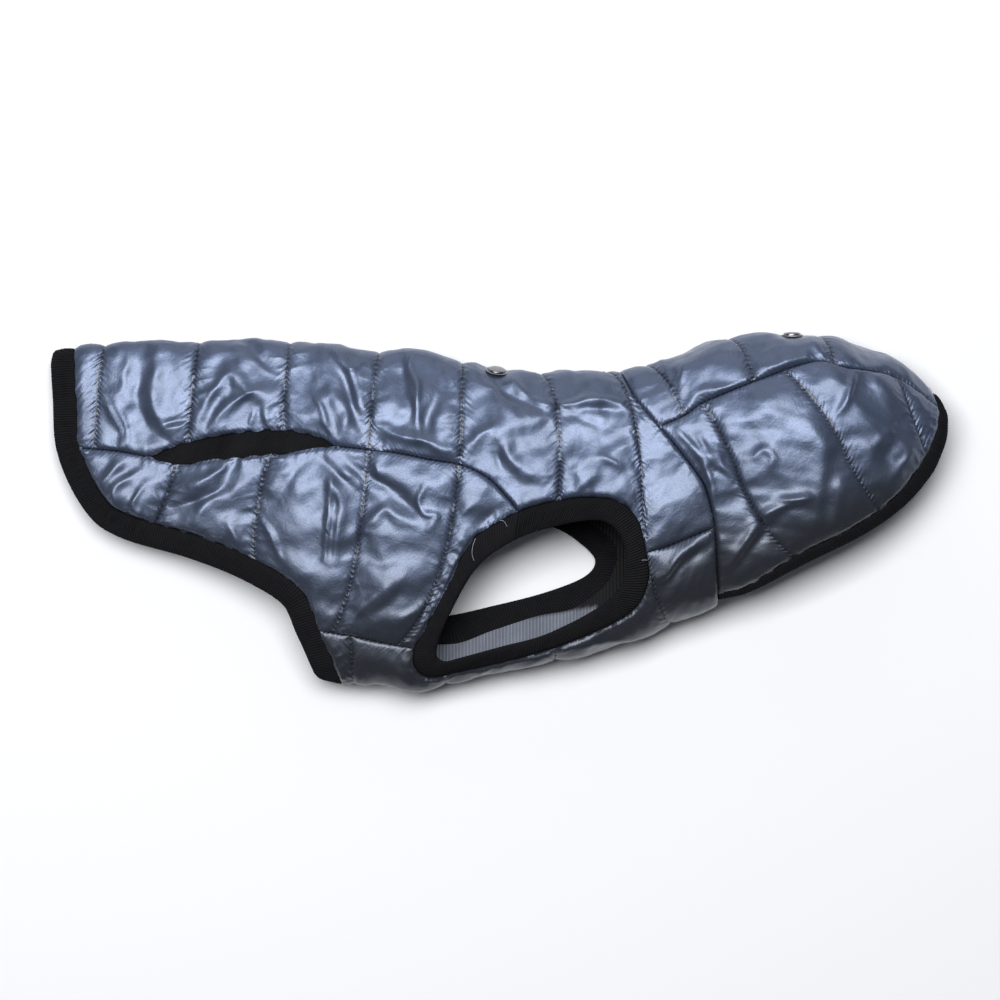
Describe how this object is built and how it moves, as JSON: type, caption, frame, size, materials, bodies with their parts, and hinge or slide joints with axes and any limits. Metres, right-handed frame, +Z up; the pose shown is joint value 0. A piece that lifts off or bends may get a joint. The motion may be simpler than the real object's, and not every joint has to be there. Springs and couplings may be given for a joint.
{
  "type": "hooded quilted dog coat",
  "caption": "Padded dog coat with a hood, ribbed edge bindings and leg holes, lying closed on its side.",
  "frame": {"origin": "centre of the coat's outline on the surface it lies on", "axes": "+X from the tail hem to the hood's opening, +Y from the belly fold to the spine fold, +Z up off the surface"},
  "size_m": [0.4508, 0.1789, 0.0499],
  "materials": {
    "shell": "silver blue coated nylon, satin sheen",
    "rib": "black rib knit, matte",
    "snap": "gunmetal, satin"
  },
  "bodies": {
    "root": {"back_panel": "shell", "belly_panel": "shell", "side_panel_near": "shell", "side_panel_far": "shell", "hood_side_near": "shell", "hood_side_far": "shell", "hood_crown": "shell", "hem_binding": "rib", "face_binding": "rib", "leg_binding_near": "rib", "leg_binding_far": "rib", "rib_insert_near": "rib", "rib_insert_far": "rib", "snap_back": "snap", "snap_hood": "snap"}
  },
  "joints": []
}
